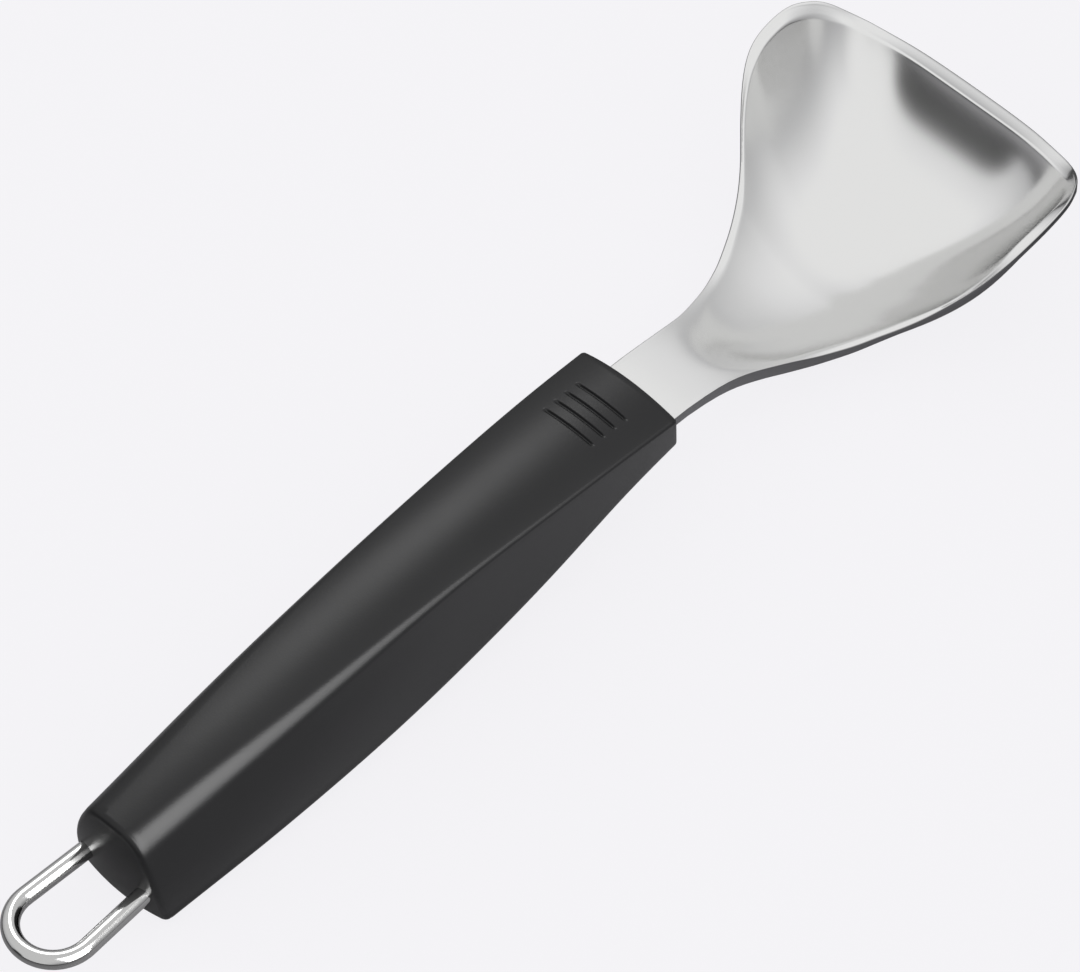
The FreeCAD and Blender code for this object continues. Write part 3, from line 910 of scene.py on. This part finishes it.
@dataclass(frozen=True)
class PaleFloor(Finish):
    """The pale ground of the studio, darker in reflections away from the scoop."""

    name: str = "pale floor"
    colour: tuple = (0.913, 0.905, 0.93, 1.0)
    distant: tuple = (0.06, 0.06, 0.062, 1.0)
    fade: float = 0.2
    even: float = 0.93

    def material(self) -> bpy.types.Material:
        """Make the material: even to the eye, with a faint shadow."""
        made = bpy.data.materials.new(self.name)
        made.use_nodes = True
        graph = Graph(made.node_tree)
        rays = graph.add("ShaderNodeLightPath", output="Is Camera Ray")
        shiny = Wire(graph, rays.socket.node.outputs["Is Glossy Ray"])
        place = graph.add("ShaderNodeTexCoord", output="Object")
        far = graph.add("ShaderNodeVectorMath", {"operation": "LENGTH"}, {0: place},
                        output="Value")
        fade = graph.add("ShaderNodeMapRange", {"interpolation_type": "SMOOTHSTEP"},
                         {"Value": far, "From Min": 0.0, "From Max": self.fade})
        tone = graph.add("ShaderNodeMix", {"data_type": "RGBA"},
                         {"Factor": fade * shiny, 6: self.colour, 7: self.distant}, output=2)
        paint = graph.add("ShaderNodeBsdfDiffuse", inputs={"Color": tone})
        glow = graph.add("ShaderNodeEmission", inputs={"Color": self.colour, "Strength": 1.0})
        mixed = graph.add("ShaderNodeMixShader",
                          inputs={0: rays * self.even, 1: paint, 2: glow})
        graph.end("ShaderNodeOutputMaterial", mixed)
        return made


class Lamp(Enum):
    """The soft boxes: heading and lift in degrees, width and height in metres, watts."""

    AHEAD = (54.0, 51.0, 0.45, 0.45, 2.8)
    RIGHT = (-97.0, 40.0, 0.9, 1.1, 34.0)


@dataclass
class Studio:
    """Floor, lamps, surroundings and camera.

    eye is the camera's place from the collar's top edge, in millimetres. dome gives the room's
    tone from the ground up to crown, its brightest direction. patches gives the places in the
    room with a tone of their own: heading, lift, outer and inner radius in degrees, and tone.
    """

    eye: Vector = field(default_factory=lambda: Vector((-615.506, -561.332, 1069.998)))
    heading: float = 46.576
    tilt: float = 52.8
    lens: float = 266.667
    film: float = 36.0
    ground_half: float = 0.5
    reach: float = 1.1
    dome: tuple = ((0.30, (0.36, 0.36, 0.365, 1.0)), (0.5, (0.48, 0.48, 0.485, 1.0)),
                   (0.585, (0.62, 0.62, 0.63, 1.0)), (0.67, (0.80, 0.80, 0.805, 1.0)),
                   (0.75, (0.92, 0.92, 0.93, 1.0)), (0.81, (1.0, 1.0, 1.0, 1.0)))
    crown: tuple = (-0.150, 0.087, 0.985)
    patches: tuple = ((-170.0, 16.0, 40.0, 12.0, 1.0), (157.0, 2.0, 13.0, 5.0, 0.06))

    @staticmethod
    def direction(heading: float, lift: float) -> Vector:
        """Return the unit vector at a heading and a lift, both in degrees."""
        a, e = math.radians(heading), math.radians(lift)
        return Vector((math.cos(a) * math.cos(e), math.sin(a) * math.cos(e), math.sin(e)))

    def floor(self) -> None:
        """Lay the floor that the scoop rests on."""
        flat = bmesh.new()
        bmesh.ops.create_grid(flat, x_segments=1, y_segments=1, size=self.ground_half)
        data = bpy.data.meshes.new("floor")
        flat.to_mesh(data)
        flat.free()
        made = bpy.data.objects.new("floor", data)
        bpy.context.scene.collection.objects.link(made)
        PaleFloor().dress(made)

    def lamps(self, lit: tuple) -> None:
        """Hang the soft boxes that draw the highlights of the dark handle and of the wire.

        Args:
            lit: the pieces that the soft boxes light.
        """
        group = bpy.data.collections.new("lit by the soft boxes")
        for piece in lit:
            group.objects.link(piece)
        for lamp in Lamp:
            heading, lift, wide, high, strength = lamp.value
            way = self.direction(heading, lift)
            data = bpy.data.lights.new(lamp.name.lower(), "AREA")
            data.shape = "RECTANGLE"
            data.size, data.size_y, data.energy = wide, high, strength
            made = bpy.data.objects.new(lamp.name.lower(), data)
            made.location = way * self.reach
            made.rotation_euler = (-way).to_track_quat("-Z", "Y").to_euler()
            made.light_linking.receiver_collection = group
            made.light_linking.blocker_collection = group
            bpy.context.scene.collection.objects.link(made)

    def surroundings(self) -> None:
        """Fill the room with an even pale light that falls off a little towards the ground."""
        world = bpy.data.worlds.new("room")
        bpy.context.scene.world = world
        world.use_nodes = True
        graph = Graph(world.node_tree)
        way = graph.add("ShaderNodeTexCoord", output="Generated")
        lift = graph.add("ShaderNodeVectorMath", {"operation": "DOT_PRODUCT"},
                         {0: way, 1: self.crown}, output="Value")
        dome = graph.add("ShaderNodeValToRGB", {"stops": self.dome}, {"Fac": lift * 0.5 + 0.5})
        for heading, lift_up, rim, core, tone in self.patches:
            near = graph.add("ShaderNodeVectorMath", {"operation": "DOT_PRODUCT"},
                             {0: way, 1: self.direction(heading, lift_up)}, output="Value")
            part = graph.add("ShaderNodeMapRange", {"interpolation_type": "SMOOTHSTEP"},
                             {"Value": near, "From Min": math.cos(math.radians(rim)),
                              "From Max": math.cos(math.radians(core))})
            dome = graph.add("ShaderNodeMix", {"data_type": "RGBA"},
                             {"Factor": part, 6: dome, 7: (tone, tone, tone, 1.0)}, output=2)
        eye = graph.add("ShaderNodeLightPath", output="Is Camera Ray")
        tone = graph.add("ShaderNodeMix", {"data_type": "RGBA"},
                         {"Factor": eye, 6: dome, 7: PaleFloor.colour}, output=2)
        graph.end("ShaderNodeOutputWorld",
                  graph.add("ShaderNodeBackground", inputs={"Color": tone, "Strength": 1.0}))

    def camera(self, shift: Vector) -> None:
        """Set the camera where the photograph was taken from.

        Args:
            shift: where the collar's top edge lies in the frame, in millimetres.
        """
        data = bpy.data.cameras.new("camera")
        data.lens, data.sensor_width, data.sensor_fit = self.lens, self.film, "HORIZONTAL"
        data.clip_end = 50.0
        made = bpy.data.objects.new("camera", data)
        a, e = math.radians(self.heading), math.radians(self.tilt)
        right = Vector((math.cos(a), -math.sin(a), 0))
        ahead = Vector((math.sin(a) * math.cos(e), math.cos(a) * math.cos(e), -math.sin(e)))
        up = right.cross(ahead)
        turn = Matrix((right, up, -ahead)).transposed().to_4x4()
        made.matrix_world = Matrix.Translation((self.eye + shift) * MM) @ turn
        bpy.context.scene.collection.objects.link(made)
        bpy.context.scene.camera = made

    def set_up(self, shift: Vector, lit: tuple) -> None:
        """Build the whole studio round the scoop.

        Args:
            shift: where the collar's top edge lies in the frame, in millimetres.
            lit: the pieces that have soft boxes of their own.
        """
        self.floor()
        self.lamps(lit)
        self.surroundings()
        self.camera(shift)
        bpy.context.scene.view_settings.view_transform = "Standard"


def collar_place(tang_long: float, loop_level: float) -> Vector:
    """Return where the collar's top edge lies in the frame, in millimetres.

    Args:
        tang_long: length of the tang behind the collar.
        loop_level: height of the loop's wire from the collar's top edge.

    Returns:
        The place, read from the boxes of the frame's own pieces.
    """
    head_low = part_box("scoop_head")[0]
    loop_low, loop_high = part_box("hanging_loop")
    return Vector((head_low[0] / MM + tang_long, 0,
                   (loop_low[2] + loop_high[2]) / 2 / MM - loop_level))


def main() -> None:
    """Build and dress the pieces, then set up the studio."""
    logging.basicConfig(level=logging.INFO, format="%(name)s: %(message)s")
    head, handle, loop = ScoopHead(), Handle(), HangingLoop()
    shift = collar_place(head.form.tang_long, loop.level)
    for builder, node, slot, finish in (
            (head, "scoop_head", "head_steel", SatinSteel()),
            (handle, "handle", "handle_plastic", BlackPlastic()),
            (loop, "hanging_loop", "loop_steel", PolishedWire())):
        piece = builder.build(shift)
        finish.dress(piece)
        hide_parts(node)
        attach(piece, "root")
    Studio().set_up(shift, tuple(bpy.data.objects[name]
                                 for name in ("handle_dressed", "hanging_loop_dressed")))


if __name__ == "__main__":
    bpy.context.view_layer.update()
    main()
